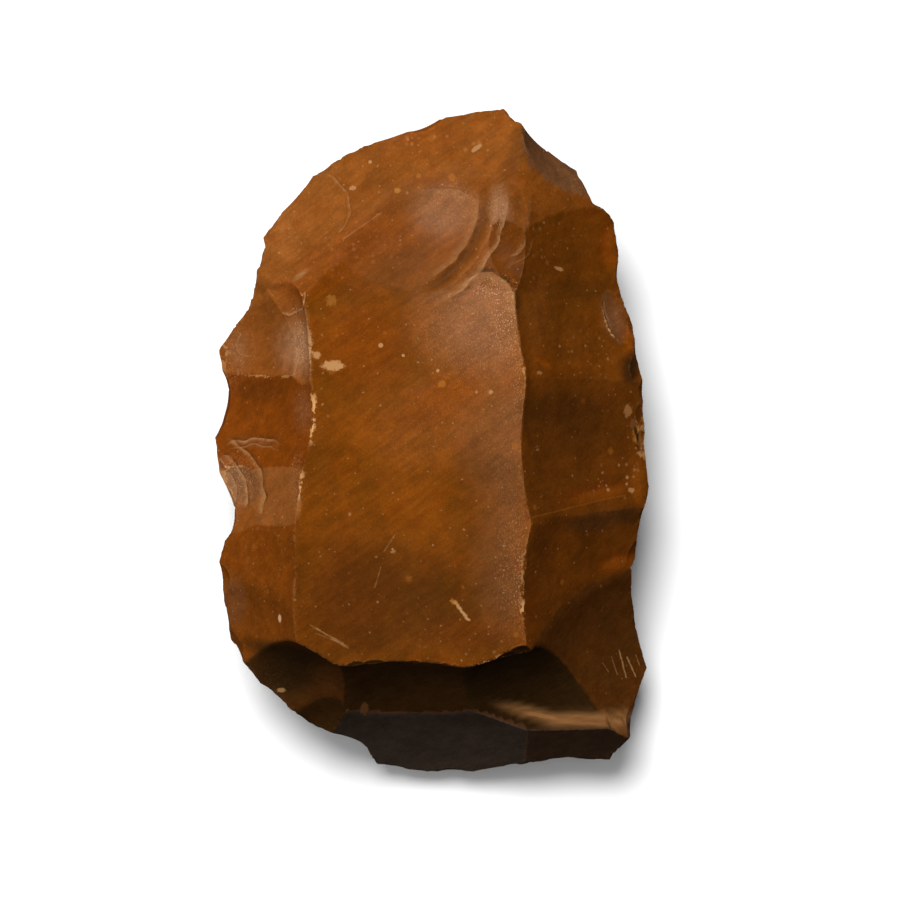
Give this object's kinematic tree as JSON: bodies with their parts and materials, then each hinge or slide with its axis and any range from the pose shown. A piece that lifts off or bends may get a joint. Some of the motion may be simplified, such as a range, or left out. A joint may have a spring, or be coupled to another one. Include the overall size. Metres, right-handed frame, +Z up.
{
  "type": "flint core",
  "caption": "Prepared core of honey-brown flint, a knapped slab with one long scar along its upper side and short trimming scars around its edge.",
  "frame": {"origin": "on the surface that the core lies on, under the middle of its bounding box", "axes": "+Z up out of the side with the longest scar, +Y from the thick butt to the thin tip, +X across"},
  "size_m": [0.0722, 0.1104, 0.0342],
  "materials": {
    "flint": "honey-brown flint, softly glossy on its scars, with pale specks, rubbed pale ridges and a dull tan streak of old surface"
  },
  "bodies": {
    "root": {"flint_core": "flint"}
  },
  "joints": []
}
